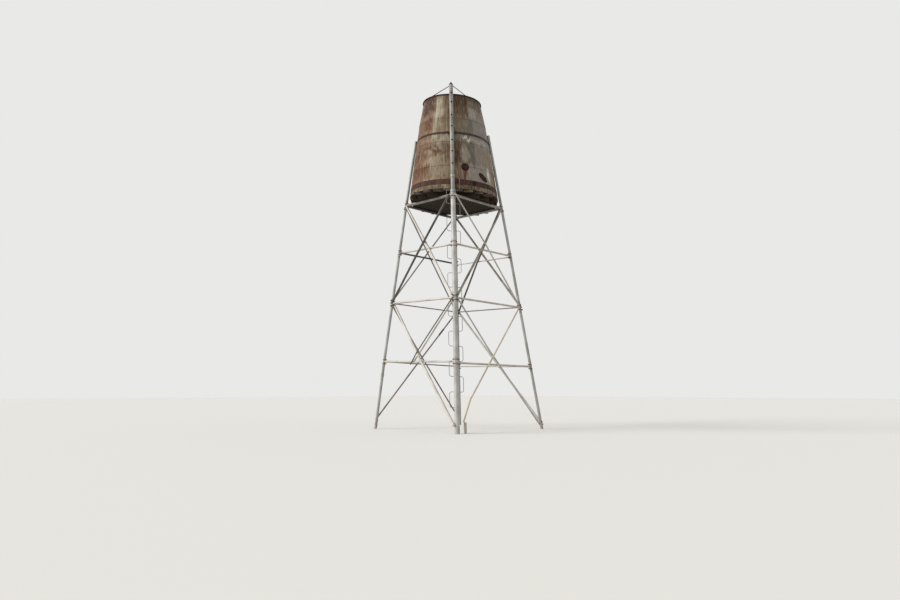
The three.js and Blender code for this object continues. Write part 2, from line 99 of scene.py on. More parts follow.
def linear(hex_colour):
    """An sRGB hex colour as linear RGBA."""
    parts = [int(hex_colour[i:i + 2], 16) / 255 for i in (1, 3, 5)]
    return [p / 12.92 if p <= 0.04045 else ((p + 0.055) / 1.055) ** 2.4 for p in parts] + [1]


def racked(x, y, z):
    """A point of the upright tower, moved to where the racked tower has it."""
    return RACKING @ Vector((x, y, z))


def leg_point(name, height):
    """The middle of a leg at a height, before racking."""
    leg = LEGS[name]
    from_hoop = (HOOP_HEIGHT - height) / (HOOP_HEIGHT - RINGS["deck"])
    bowed = leg["bow"] * max(0, min(1, height / RINGS["lower"], from_hoop))
    reach = LEG_INNER_AT_HOOP + leg["radius"] + leg["taper"] * (HOOP_HEIGHT - height) + bowed
    return Vector((leg["corner"][0] * reach / math.sqrt(2), leg["corner"][1] * reach / math.sqrt(2), height))


def course_at(height):
    """Which course of sheet a height falls in, counted from 0 at the foot."""
    return min(LAST_COURSE, max(0, int((height - TANK_BOTTOM) / COURSE)))


def wall_slope(height):
    """How far the wall moves in for each metre up."""
    course = course_at(height)
    return (TANK_RADII[course] - TANK_RADII[course + 1]) / COURSE


def wall_radius(height):
    """Outer face of the tank's sheet, with the step at each lap."""
    course = course_at(height)
    rise = height - TANK_BOTTOM - course * COURSE
    plain = TANK_RADII[course] - wall_slope(height) * rise
    if course < LAST_COURSE and rise > COURSE - LAP:
        return plain + SHEET + GAP
    return plain + (SHEET + GAP) * (1 - rise / COURSE if course else 0)


def wall_normal(angle_degrees, height):
    """The way that the tank's wall faces. Angles count from +X towards +Y."""
    turn = math.radians(angle_degrees)
    return Vector((math.cos(turn), math.sin(turn), wall_slope(height))).normalized()


def wall_point(angle_degrees, height, out=0.0):
    """A point on the tank's wall before racking, or somewhat outside it."""
    turn = math.radians(angle_degrees)
    reach = wall_radius(height) + out
    return Vector((reach * math.cos(turn), reach * math.sin(turn), height))


# Shader building

def add_node(tree, kind, inputs=None, **settings):
    """Adds a node, sets its settings, and sets or links its inputs."""
    node = tree.nodes.new(kind)
    for name, value in settings.items():
        setattr(node, name, value)
    for socket, value in (inputs or {}).items():
        if isinstance(value, bpy.types.NodeSocket):
            tree.links.new(value, node.inputs[socket])
        else:
            node.inputs[socket].default_value = value
    return node


def new_material(name, roughness, metallic=0.0):
    """A material with little sheen, as weathered zinc, rust and old wood have."""
    material = bpy.data.materials.new(name)
    material.use_nodes = True
    tree = material.node_tree
    shader = tree.nodes["Principled BSDF"]
    shader.inputs["Roughness"].default_value = roughness
    shader.inputs["Metallic"].default_value = metallic
    shader.inputs["Specular IOR Level"].default_value = 0.15
    return material, tree, shader


def upright_axes(tree):
    """Across, along and up in the upright tower, from the point's place on the object."""
    place = add_node(tree, "ShaderNodeTexCoord").outputs["Object"]
    axes = []
    for row in list(UPRIGHT)[:3]:
        turned = add_node(tree, "ShaderNodeVectorMath", {0: place, 1: row[:3]}, operation="DOT_PRODUCT")
        moved = add_node(tree, "ShaderNodeMath", {0: turned.outputs["Value"], 1: row[3]}, operation="ADD")
        axes.append(moved.outputs[0])
    return axes


def patches(tree, place, size_mm, low, high, detail=4.0, distortion=0.0):
    """A field of patches of a real size: 0 where the noise is under low, and 1 where it is over high."""
    noise = add_node(tree, "ShaderNodeTexNoise", {
        "Vector": place, "Scale": MM_TO_A_METRE / size_mm, "Detail": detail, "Distortion": distortion,
    })
    return add_node(tree, "ShaderNodeMapRange", {
        "Value": noise.outputs["Fac"], "From Min": low, "From Max": high,
    }, interpolation_type="SMOOTHSTEP").outputs[0]


def stained(tree, colour, field, strength, stain):
    """A colour with a stain over it, as strong as its field times its strength."""
    share = add_node(tree, "ShaderNodeMath", {0: field, 1: strength}, operation="MULTIPLY").outputs[0]
    return add_node(tree, "ShaderNodeMix", {0: share, 6: colour, 7: stain}, data_type="RGBA").outputs[2]


def pitted(tree, shader, place, size_mm, depth, strength, detail):
    """Gives the surface dents or pits of a real size and a depth in metres."""
    dents = add_node(tree, "ShaderNodeTexNoise", {
        "Vector": place, "Scale": MM_TO_A_METRE / size_mm, "Detail": detail,
    })
    bump = add_node(tree, "ShaderNodeBump", {
        "Height": dents.outputs["Fac"], "Distance": depth, "Strength": strength,
    })
    tree.links.new(bump.outputs[0], shader.inputs["Normal"])


# Stains of the tank's sheets, each by what it is: angle in degrees, height in metres, half its
# width and half its depth, how soft its edge is, how strong it is, its field and its colour.
# The angle counts from +X towards +Y, so the front right leg is at -45 and the view's right is +43.
STAINS = [
    # Newer, greyer zinc on the tower's right side
    ("grey zinc of the top course", 22, 6.90, 40, 0.30, 0.5, 0.8, "streak", "#83807d"),
    ("grey zinc of the third course", 10, 6.47, 32, 0.34, 0.3, 0.8, "plain", "#7f7b77"),
    ("grey zinc of the second course", 4, 5.90, 26, 0.32, 0.4, 0.8, "streak", "#857f79"),
    ("grey zinc of the bottom course", -6, 5.40, 24, 0.26, 0.3, 0.8, "plain", "#8c8680"),
    # Olive and brown film right of the mast
    ("olive film of the third course", -31, 6.45, 12, 0.30, 0.4, 0.8, "plain", "#6b6354"),
    ("green grey run", -15, 6.45, 5.5, 0.29, 0.3, 0.75, "plain", "#5e5b51"),
    ("green grey run of the second course", -18, 5.90, 7, 0.25, 0.4, 0.85, "plain", "#59554b"),
    ("brown film of the second course", -37, 5.92, 7, 0.26, 0.5, 0.8, "plain", "#4f3b27"),
    ("brown film of the top course", -31, 7.08, 17, 0.27, 0.5, 0.8, "plain", "#513c29"),
    ("brown film under the rim", -6, 7.27, 36, 0.09, 0.8, 0.7, "plain", "#4a3829"),
    ("brown runs from the rim", -8, 7.17, 34, 0.19, 0.8, 0.95, "streak", "#3a281b"),
    ("dark red run from the rim", -17.5, 7.05, 2.6, 0.26, 0.5, 0.95, "plain", "#4a2c1f"),
    ("white runs below the rim", -8, 6.90, 10, 0.14, 0.8, 0.7, "streak", "#a39e97"),
    ("dark rust beside the mast", -39.5, 5.86, 4, 0.14, 0.6, 0.9, "plain", "#47301f"),
    ("white runs above the left port", -27, 5.87, 6, 0.16, 0.6, 0.6, "streak", "#a59d90"),
    ("orange run of the bottom course", -38, 5.42, 4.5, 0.16, 0.6, 0.7, "streak", "#7c5a3d"),
    ("rust patch at the far right", 22, 5.93, 8, 0.12, 0.7, 0.8, "blotch", "#7d563c"),
    ("rust at the right limb", 34, 5.35, 9, 0.24, 0.8, 0.85, "blotch", "#6b4630"),
    ("white zinc runs", 11, 5.50, 3.5, 0.13, 0.7, 0.95, "streak", "#d0cdc7"),
    # Rust and cream to the left of the mast
    ("brown left side of the top course", -104, 7.0, 28, 0.36, 0.4, 0.85, "plain", "#6d5136"),
    ("dark rust bloom of the top course", -93, 7.12, 17, 0.26, 0.25, 1.0, "plain", "#472b1c"),
    ("heart of the dark bloom", -92, 7.14, 9.5, 0.16, 0.7, 0.9, "plain", "#2f1e1c"),
    ("cream runs of the top course", -67, 6.98, 7, 0.27, 0.5, 0.8, "streak", "#aaa18e"),
    ("cream foot of the top course", -66, 6.83, 9, 0.08, 0.6, 0.8, "blotch", "#a69e8c"),
    ("brown runs beside the mast", -53, 7.05, 6, 0.27, 0.6, 0.85, "streak", "#513b26"),
    ("brown left side of the third course", -99, 6.47, 22, 0.27, 0.15, 0.9, "plain", "#6b5039"),
    ("red bloom of the third course", -88, 6.62, 10, 0.15, 0.4, 0.9, "plain", "#573321"),
    # Painted highlight: a pale streak beside the upright seam of the third course, where the seam's edge
    # catches the light
    ("painted highlight beside the seam", -73, 6.47, 3.5, 0.28, 0.4, 0.8, "streak", "#a39b89"),
    ("brown runs of the third course", -56, 6.45, 8, 0.27, 0.5, 0.7, "streak", "#5d4a35"),
    ("pale greenish lap under the hoop", -62, 6.22, 16, 0.06, 0.5, 0.75, "plain", "#8b8677"),
    ("pale lap at the right", -6, 6.23, 25, 0.05, 0.5, 0.75, "plain", "#98938a"),
    # Painted highlight: a small white patch on the lap just under the hoop
    ("painted highlight under the hoop", -23, 6.255, 4.5, 0.03, 0.9, 0.8, "plain", "#d6d4d0"),
    ("brown left side of the second course", -106, 5.96, 27, 0.27, 0.5, 0.9, "plain", "#6b4d37"),
    ("rust cloud across the second course", -84, 5.96, 34, 0.12, 0.6, 0.95, "blotch", "#4f301b"),
    ("rust cloud at the left", -112, 5.83, 14, 0.10, 0.6, 0.9, "plain", "#51301c"),
    ("brown film left of the mast", -55, 5.90, 9, 0.20, 0.6, 0.75, "streak", "#533d28"),
    ("yellow film of the second course", -72, 5.74, 16, 0.09, 0.6, 0.7, "blotch", "#8a806b"),
    ("brown left side of the bottom course", -104, 5.45, 22, 0.25, 0.4, 0.9, "plain", "#6a4a32"),
    ("rust bloom of the bottom course", -106, 5.52, 10, 0.15, 0.6, 0.9, "plain", "#53301c"),
    ("second rust bloom of the bottom course", -86, 5.56, 8, 0.10, 0.6, 0.9, "plain", "#573520"),
    ("cream sheet of the bottom course", -62, 5.42, 14, 0.19, 0.5, 0.7, "plain", "#7f725d"),
    ("rust above the band", -80, 5.30, 60, 0.05, 0.9, 0.7, "blotch", "#654534"),
    ("run from the left port", -29, 5.38, 1.9, 0.14, 0.3, 0.97, "plain", "#5f2e1f"),
    ("run under the left port's bolts", -26, 5.42, 1.1, 0.08, 0.5, 0.8, "plain", "#6c4230"),
    # The strip below the band
    ("brown strip below the band", 0, 5.03, 180, 0.16, 0.1, 0.95, "plain", "#66543f"),
    ("cream strip below the band", -62, 5.06, 12, 0.12, 0.3, 0.8, "streak", "#9a8e76"),
    ("pale strip at the left", -98, 5.06, 13, 0.12, 0.4, 0.7, "streak", "#857764"),
    ("red strip below the band", -30, 5.06, 11, 0.12, 0.4, 0.8, "blotch", "#5c3c2c"),
    ("pale strip at the right", 3, 5.06, 15, 0.12, 0.4, 0.8, "streak", "#938a7b"),
    ("dark patches of the strip", 0, 5.04, 180, 0.12, 0.1, 0.75, "blotch", "#3a2d22"),
]

# How wide each pattern of the tank's sheet is, in millimetres at its foot. The dirt and the thin
# runs are drawn coarser than they are, so that they show.
SHEET_MM = {
    "mottling": 285.71, "run": 45.45, "blotch": 142.86, "dirt": 11.11, "thin run": 13.33, "pale run": 16.67,
    "wander": 200, "fray": 58.82, "dent": 166.67,
}

# How far the edges of the stains wander: degrees round the tank and metres up it, and how far
# their tops and feet fray into runs
WANDER = (9.0, 0.14, 0.0)
HALF_WANDER = (-4.5, -0.07, 0.0)
FRAY = 0.44

# Runs are drawn out down the sheet: a height counts for this much of itself. The pale thin runs are
# read from another place of the noise than the dark ones.
RUN_DRAW = 0.09
PALE_RUN_SHIFT = (0.7, 1.3, 5.0)

# Sheet deeper than this in the wall is its inside
INNER_FACE = 0.0024


def all_stains(tree, colour, turn, up, unrolled, run_place, fields):
    """The sheet's colour with every stain over it, each with wandering edges and frayed ends."""
    angle = add_node(tree, "ShaderNodeMath", {0: turn}, operation="DEGREES").outputs[0]
    wander = add_node(tree, "ShaderNodeTexNoise", {
        "Vector": unrolled, "Scale": MM_TO_A_METRE / SHEET_MM["wander"], "Detail": 5.0,
    })
    moved = add_node(tree, "ShaderNodeVectorMath", {
        0: wander.outputs["Color"], 1: WANDER, 2: HALF_WANDER,
    }, operation="MULTIPLY_ADD").outputs[0]
    frayed = add_node(tree, "ShaderNodeTexNoise", {
        "Vector": run_place, "Scale": MM_TO_A_METRE / SHEET_MM["fray"], "Detail": 4.0,
    })
    fray = add_node(tree, "ShaderNodeMath", {
        0: frayed.outputs["Fac"], 1: FRAY, 2: -FRAY / 2,
    }, operation="MULTIPLY_ADD").outputs[0]
    frayed_up = add_node(tree, "ShaderNodeMath", {0: up, 1: fray}, operation="ADD").outputs[0]
    plain_place = add_node(tree, "ShaderNodeCombineXYZ", {0: angle, 1: frayed_up}).outputs[0]
    place = add_node(tree, "ShaderNodeVectorMath", {0: plain_place, 1: moved}, operation="ADD").outputs[0]
    for _, at, height, half_width, half_depth, edge, strength, field, stain in STAINS:
        scale = (1 / half_width, 1 / half_depth, 0.0)
        offset = (-at / half_width, -height / half_depth, 0.0)
        local = add_node(tree, "ShaderNodeVectorMath", {
            0: place, 1: scale, 2: offset,
        }, operation="MULTIPLY_ADD").outputs[0]
        squared = add_node(tree, "ShaderNodeVectorMath", {0: local, 1: local}, operation="MULTIPLY")
        reach = add_node(tree, "ShaderNodeVectorMath", {0: squared.outputs[0]}, operation="LENGTH")
        mask = add_node(tree, "ShaderNodeMapRange", {
            "Value": reach.outputs["Value"], "From Min": 1 + edge, "From Max": max(0.0, 1 - edge),
        }, interpolation_type="SMOOTHSTEP").outputs[0]
        if field != "plain":
            broken = add_node(tree, "ShaderNodeMath", {0: mask, 1: fields[field]}, operation="MULTIPLY")
            mask = broken.outputs[0]
        colour = stained(tree, colour, mask, strength, linear(stain))
    return colour


def depth_in_wall(tree, across, along, up):
    """How far inside the line of the tank's outer face a point lies."""
    flat_place = add_node(tree, "ShaderNodeCombineXYZ", {0: across, 1: along}).outputs[0]
    from_axis = add_node(tree, "ShaderNodeVectorMath", {0: flat_place}, operation="LENGTH").outputs["Value"]
    wall = None
    for course in range(LAST_COURSE + 1):
        foot = TANK_BOTTOM + course * COURSE
        slope = wall_slope(foot + GAP)
        line = add_node(tree, "ShaderNodeMath", {
            0: up, 1: -slope, 2: TANK_RADII[course] + slope * foot,
        }, operation="MULTIPLY_ADD").outputs[0]
        if wall:
            line = add_node(tree, "ShaderNodeMath", {0: wall, 1: line}, operation="MINIMUM").outputs[0]
        wall = line
    return add_node(tree, "ShaderNodeMath", {0: wall, 1: from_axis}, operation="SUBTRACT").outputs[0]


def make_tank_sheet():
    """Galvanised sheet gone dull: tan with age, with rust blooms and runs, and paler zinc on the right."""
    material, tree, shader = new_material("weathered_galvanised_tank_sheet", 0.62, 0.15)
    across, along, up = upright_axes(tree)
    turn = add_node(tree, "ShaderNodeMath", {0: along, 1: across}, operation="ARCTAN2").outputs[0]
    # The sheet unrolled: at the tank's foot, a radian round it is a metre
    unrolled = add_node(tree, "ShaderNodeCombineXYZ", {0: turn, 1: up}).outputs[0]
    run_place = add_node(tree, "ShaderNodeVectorMath", {
        0: unrolled, 1: (1.0, RUN_DRAW, 0.0),
    }, operation="MULTIPLY").outputs[0]
    # Runs are long and narrow, blotches are as wide as they are deep
    fields = {
        "streak": patches(tree, run_place, SHEET_MM["run"], 0.34, 0.62, 5, 0.2),
        "blotch": patches(tree, unrolled, SHEET_MM["blotch"], 0.3, 0.62, 6, 0.6),
    }
    # Tan sheet, mottled light and dark, and browner in runs
    mottling = patches(tree, unrolled, SHEET_MM["mottling"], 0.35, 0.65)
    colour = stained(tree, linear("#7b6e5c"), mottling, 1, linear("#897c69"))
    colour = stained(tree, colour, fields["streak"], 1, linear("#6a5a45"))
    colour = all_stains(tree, colour, turn, up, unrolled, run_place, fields)
    # Fine dirt, and thin dark and pale runs
    dirt = patches(tree, unrolled, SHEET_MM["dirt"], 0.4, 0.75, 3)
    colour = stained(tree, colour, dirt, 0.18, linear("#443a30"))
    thin_runs = patches(tree, run_place, SHEET_MM["thin run"], 0.45, 0.7, 3)
    colour = stained(tree, colour, thin_runs, 0.5, linear("#60513f"))
    aside = add_node(tree, "ShaderNodeVectorMath", {0: run_place, 1: PALE_RUN_SHIFT}, operation="ADD")
    pale_runs = patches(tree, aside.outputs[0], SHEET_MM["pale run"], 0.52, 0.72, 3)
    colour = stained(tree, colour, pale_runs, 0.45, linear("#a59c8f"))
    # Grime lies in a thin line under the edge of each lap
    for course in range(1, LAST_COURSE + 1):
        edge = TANK_BOTTOM + course * COURSE - LAP - LAP_LINE
        line = add_node(tree, "ShaderNodeMath", {0: up, 1: edge, 2: LAP_LINE}, operation="COMPARE").outputs[0]
        colour = stained(tree, colour, line, 0.65, linear("#3d3329"))
    # Inside, the sheet is rusted dark from standing water
    depth = depth_in_wall(tree, across, along, up)
    inside = add_node(tree, "ShaderNodeMath", {0: depth, 1: INNER_FACE}, operation="GREATER_THAN").outputs[0]
    inner_colour = stained(tree, linear("#422e25"), fields["blotch"], 1, linear("#60422f"))
    colour = stained(tree, colour, inside, 1, inner_colour)
    tree.links.new(colour, shader.inputs["Base Color"])
    # Rust is rougher than bare zinc, and the sheet is slightly dented
    roughness = add_node(tree, "ShaderNodeMapRange", {
        "Value": fields["blotch"], "To Min": 0.5, "To Max": 0.8,
    }).outputs[0]
    tree.links.new(roughness, shader.inputs["Roughness"])
    pitted(tree, shader, unrolled, SHEET_MM["dent"], 0.012, 0.5, 6.0)
    return material


# How wide each pattern of the pipes is, in millimetres. The pits are drawn coarser than they are.
PIPE_MM = {"mottling": 250, "run": 33.33, "rust": 62.5, "spot": 33.33, "pit": 8.33}

# How far rust reaches from a ring along a leg, and how much of a height counts in a pipe's runs
RUST_REACH = 0.12
PIPE_RUN_DRAW = 0.12


def near_corners(tree, across, along):
    """A field that rises at the tower's four corners, where rails and braces are clamped."""
    sides = []
    for axis in (across, along):
        sides.append(add_node(tree, "ShaderNodeMath", {0: axis}, operation="ABSOLUTE").outputs[0])
    least = add_node(tree, "ShaderNodeMath", {0: sides[0], 1: sides[1]}, operation="MINIMUM").outputs[0]
    most = add_node(tree, "ShaderNodeMath", {0: sides[0], 1: sides[1]}, operation="MAXIMUM").outputs[0]
    ratio = add_node(tree, "ShaderNodeMath", {0: least, 1: most}, operation="DIVIDE").outputs[0]
    return add_node(tree, "ShaderNodeMapRange", {
        "Value": ratio, "From Min": 0.84, "From Max": 0.99,
    }).outputs[0]


def near_rings(tree, up):
    """A field that is 1 on a leg close to a ring or to the ground."""
    near = None
    for height in (0.0, *RINGS.values()):
        close = add_node(tree, "ShaderNodeMath", {0: up, 1: height, 2: RUST_REACH}, operation="COMPARE")
        field = close.outputs[0]
        if near:
            field = add_node(tree, "ShaderNodeMath", {0: near, 1: field}, operation="MAXIMUM").outputs[0]
        near = field
    return near


def make_pipe(name, light, dark, rust, rust_share, leg=False):
    """Galvanised pipe gone dull: mottled zinc, grime in runs, and rust that gathers at the joints."""
    material, tree, shader = new_material(name, 0.55, 0.25)
    across, along, up = upright_axes(tree)
    place = add_node(tree, "ShaderNodeCombineXYZ", {0: across, 1: along, 2: up}).outputs[0]
    drawn = add_node(tree, "ShaderNodeVectorMath", {
        0: place, 1: (1.0, 1.0, PIPE_RUN_DRAW),
    }, operation="MULTIPLY").outputs[0]
    mottling = patches(tree, place, PIPE_MM["mottling"], 0.3, 0.8, 4)
    colour = stained(tree, linear(light), mottling, 1, linear(dark))
    runs = patches(tree, drawn, PIPE_MM["run"], 0.45, 0.75, 4)
    colour = stained(tree, colour, runs, 0.35, linear(dark))
    # Rust in patches at the joints, and in spots all over
    near = near_rings(tree, up) if leg else near_corners(tree, across, along)
    rust_field = patches(tree, place, PIPE_MM["rust"], 0.42, 0.6, 6, 0.4)
    spots = patches(tree, place, PIPE_MM["spot"], 0.66, 0.74, 3)
    near_rust = add_node(tree, "ShaderNodeMath", {0: near, 1: rust_field}, operation="MULTIPLY").outputs[0]
    some_rust = add_node(tree, "ShaderNodeMath", {0: near_rust, 1: spots}, operation="MAXIMUM").outputs[0]
    colour = stained(tree, colour, some_rust, rust_share, linear(rust))
    tree.links.new(colour, shader.inputs["Base Color"])
    # Rusted stretches are rougher
    roughness = add_node(tree, "ShaderNodeMapRange", {
        "Value": some_rust, "To Min": 0.5, "To Max": 0.5 + 0.35 * rust_share,
    }).outputs[0]
    tree.links.new(roughness, shader.inputs["Roughness"])
    pitted(tree, shader, place, PIPE_MM["pit"], 0.002, 0.35, 4.0)
    return material


# How wide each pattern of rusted steel is, in millimetres
RUST_MM = {"bloom": 125, "dark patch": 41.67, "scale": 14.29}


def make_rusted(name, base, bloom, dark):
    """Bare steel rusted through its scale: brown with orange blooms and near black patches."""
    material, tree, shader = new_material(name, 0.85, 0.1)
    across, along, up = upright_axes(tree)
    place = add_node(tree, "ShaderNodeCombineXYZ", {0: across, 1: along, 2: up}).outputs[0]
    blooms = patches(tree, place, RUST_MM["bloom"], 0.38, 0.66, 6, 0.5)
    colour = stained(tree, linear(base), blooms, 1, linear(bloom))
    dark_patches = patches(tree, place, RUST_MM["dark patch"], 0.5, 0.68, 5)
    colour = stained(tree, colour, dark_patches, 1, linear(dark))
    tree.links.new(colour, shader.inputs["Base Color"])
    pitted(tree, shader, place, RUST_MM["scale"], 0.004, 0.6, 6.0)
    return material


# How wide the boards' patterns are, in millimetres. The grain is drawn coarser than it is, so that
# it shows.
WOOD_MM = {"grain": 14.29, "damp": 333.33}

# How much of a board's length counts in its grain, and how far apart two boards' grain may be
GRAIN_DRAW = 0.06
GRAIN_SHIFT = 9.0


def make_boards(name, direction, light, dark):
    """Old sawn boards: dark, grained along their length, each a little different from the next."""
    material, tree, shader = new_material(name, 0.9)
    across, along, up = upright_axes(tree)
    place = add_node(tree, "ShaderNodeCombineXYZ", {0: across, 1: along, 2: up}).outputs[0]
    run = Vector(direction).normalized()
    side = Vector((-run.y, run.x, 0))
    lengthwise, sideways = [
        add_node(tree, "ShaderNodeVectorMath", {0: place, 1: way}, operation="DOT_PRODUCT").outputs["Value"]
        for way in (run, side)
    ]
    # Each board has its own number, which shifts its grain and sets its tone
    row = add_node(tree, "ShaderNodeMath", {0: sideways, 1: BOARD_WIDTH}, operation="DIVIDE").outputs[0]
    number = add_node(tree, "ShaderNodeMath", {0: row}, operation="FLOOR").outputs[0]
    own = add_node(tree, "ShaderNodeTexWhiteNoise", {"W": number}, noise_dimensions="1D").outputs["Value"]
    shifted = add_node(tree, "ShaderNodeMath", {0: own, 1: GRAIN_SHIFT}, operation="MULTIPLY").outputs[0]
    drawn = add_node(tree, "ShaderNodeMath", {
        0: lengthwise, 1: GRAIN_DRAW, 2: shifted,
    }, operation="MULTIPLY_ADD").outputs[0]
    grain_place = add_node(tree, "ShaderNodeCombineXYZ", {0: drawn, 1: sideways, 2: up}).outputs[0]
    grain = patches(tree, grain_place, WOOD_MM["grain"], 0.35, 0.68, 6, 0.3)
    colour = stained(tree, linear(light), grain, 1, linear(dark))
    colour = stained(tree, colour, own, 0.45, linear(dark))
    damp = patches(tree, place, WOOD_MM["damp"], 0.5, 0.7, 4)
    colour = stained(tree, colour, damp, 0.6, linear("#17120e"))
    tree.links.new(colour, shader.inputs["Base Color"])
    bump = add_node(tree, "ShaderNodeBump", {"Height": grain, "Distance": 0.003, "Strength": 0.5})
    tree.links.new(bump.outputs[0], shader.inputs["Normal"])
    return material


# Building of added pieces

def finish_piece(name, bm, materials, replaced=None):
    """Turns a finished mesh into a named piece that rides on the tower."""
    bmesh.ops.recalc_face_normals(bm, faces=bm.faces)
    mesh = bpy.data.meshes.new(name)
    bm.to_mesh(mesh)
    bm.free()
    for material in materials:
        mesh.materials.append(material)
    piece = bpy.data.objects.new(name, mesh)
    bpy.context.scene.collection.objects.link(piece)
    if replaced:
        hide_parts(replaced)
    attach(piece, "root")
    return piece


def shade_smooth(piece, degrees=35):
    """Smooths the shading over edges that turn less than some degrees."""
    for polygon in piece.data.polygons:
        polygon.use_smooth = True
    chosen = [piece]
    with bpy.context.temp_override(
        object=piece, active_object=piece, selected_objects=chosen, selected_editable_objects=chosen,
    ):
        bpy.ops.object.shade_smooth_by_angle(angle=math.radians(degrees))


def stamp(bm, template, matrix):
    """Adds a copy of a small mesh, placed by a matrix."""
    before = len(bm.verts)
    bm.from_mesh(template)
    bm.verts.ensure_lookup_table()
    bmesh.ops.transform(bm, matrix=matrix, verts=bm.verts[before:])


def facing(point, normal):
    """A matrix that stands something at a point with its own Z along a normal."""
    return Matrix.Translation(point) @ normal.to_track_quat("Z", "Y").to_matrix().to_4x4()


def hex_bolt(head_radius, head_height, washer_radius):
    """A bolt head on a washer, with a short end of thread over it, standing on its own XY plane."""
    bm = bmesh.new()
    washer = 0.0025
    thread = head_height * 0.7
    for sides, foot, top, depth, middle in (
        (20, washer_radius, washer_radius, washer, washer / 2),
        (6, head_radius, head_radius, head_height, washer + head_height / 2),
        (10, head_radius * 0.5, head_radius * 0.42, thread, washer + head_height * 1.3),
    ):
        bmesh.ops.create_cone(
            bm, cap_ends=True, segments=sides, radius1=foot, radius2=top, depth=depth,
            matrix=Matrix.Translation((0, 0, middle)),
        )
    bmesh.ops.bevel(bm, geom=list(bm.edges), offset=0.0008, offset_type="OFFSET", affect="EDGES",
                    segments=1, profile=0.5, material=-1)
    mesh = bpy.data.meshes.new("bolt_pattern")
    bm.to_mesh(mesh)
    bm.free()
    return mesh


def rivet(radius):
    """A low rivet head with its top edge rounded."""
    bm = bmesh.new()
    depth = radius * 0.7
    bmesh.ops.create_cone(
        bm, cap_ends=True, segments=8, radius1=radius, radius2=radius * 0.75, depth=depth,
        matrix=Matrix.Translation((0, 0, depth / 2)),
    )
    top = [edge for edge in bm.edges if min(vert.co.z for vert in edge.verts) > depth * 0.9]
    bmesh.ops.bevel(bm, geom=top, offset=radius * 0.25, offset_type="OFFSET", affect="EDGES",
                    segments=1, profile=0.5, material=-1)
    mesh = bpy.data.meshes.new("rivet_pattern")
    bm.to_mesh(mesh)
    bm.free()
    return mesh


def curved_plate(bm, start_angle, end_angle, low, high, inner, thickness, steps):
    """A strip that lies on the tank's wall: its section, spun from one angle to another."""
    before = len(bm.verts)
    corners = ((low, inner), (low, inner + thickness), (high, inner + thickness), (high, inner))
    section = bm.faces.new([bm.verts.new(wall_point(start_angle, height, out)) for height, out in corners])
    bmesh.ops.spin(
        bm, geom=[section, *section.edges, *section.verts], cent=(0, 0, 0), axis=(0, 0, 1),
        angle=math.radians(end_angle - start_angle), steps=steps,
    )
    bm.verts.ensure_lookup_table()
    bmesh.ops.transform(bm, matrix=RACKING, verts=bm.verts[before:])


def bent_rod(bm, points, radius, sides=10):
    """A round bar along a path: a disc, extruded from point to point and turned with the path."""
    last = len(points) - 1
    courses = [(points[min(i + 1, last)] - points[max(i - 1, 0)]).normalized() for i in range(last + 1)]
    made = bmesh.ops.create_circle(
        bm, cap_ends=True, segments=sides, radius=radius, matrix=facing(points[0], courses[0]),
    )
    end = made["verts"][0].link_faces[0]
    for i in range(1, last + 1):
        geom = bmesh.ops.extrude_face_region(bm, geom=[end, *end.edges])["geom"]
        end = next(part for part in geom if isinstance(part, bmesh.types.BMFace))
        turn = courses[i - 1].rotation_difference(courses[i]).to_matrix().to_4x4()
        move = Matrix.Translation(points[i]) @ turn @ Matrix.Translation(-points[i - 1])
        bmesh.ops.transform(bm, matrix=move, verts=end.verts)


def short_pipe(bm, start, end, radius, rounding):
    """A short piece of pipe or bolt with both its rims rounded."""
    along = end - start
    made = bmesh.ops.create_cone(
        bm, cap_ends=True, segments=20, radius1=radius, radius2=radius, depth=along.length,
        matrix=facing((start + end) / 2, along),
    )
    edges = {edge for vert in made["verts"] for edge in vert.link_edges}
    rims = [edge for edge in edges if any(len(face.verts) > 4 for face in edge.link_faces)]
    bmesh.ops.bevel(bm, geom=rims, offset=rounding, offset_type="OFFSET", affect="EDGES",
                    segments=2, profile=0.5, material=-1)


def wire_ring(bm, centre, reach, wire):
    """A closed ring of round wire that lies level before racking."""
    before = len(bm.verts)
    place = Matrix.Translation(centre + Vector((reach, 0, 0))) @ Matrix.Rotation(math.pi / 2, 4, "X")
    bmesh.ops.create_circle(bm, cap_ends=False, segments=8, radius=wire, matrix=place)
    bm.verts.ensure_lookup_table()
    loop = bm.verts[before:]
    edges = list({edge for vert in loop for edge in vert.link_edges})
    bmesh.ops.spin(
        bm, geom=[*loop, *edges], cent=centre, axis=(0, 0, 1), angle=2 * math.pi, steps=24, use_merge=True,
    )
    bm.verts.ensure_lookup_table()
    bmesh.ops.transform(bm, matrix=RACKING, verts=bm.verts[before:])


def make_camera():
    """The photograph's view."""
    data = bpy.data.cameras.new("camera")
    data.lens = LENS_MM
    data.sensor_width = SENSOR_MM
    camera = bpy.data.objects.new("camera", data)
    bpy.context.scene.collection.objects.link(camera)
    level = math.cos(LOOK_UP)
    look = Vector((math.cos(LOOK_YAW) * level, math.sin(LOOK_YAW) * level, math.sin(LOOK_UP)))
    camera.location = EYE
    camera.rotation_euler = look.to_track_quat("-Z", "Y").to_euler()
    bpy.context.scene.camera = camera


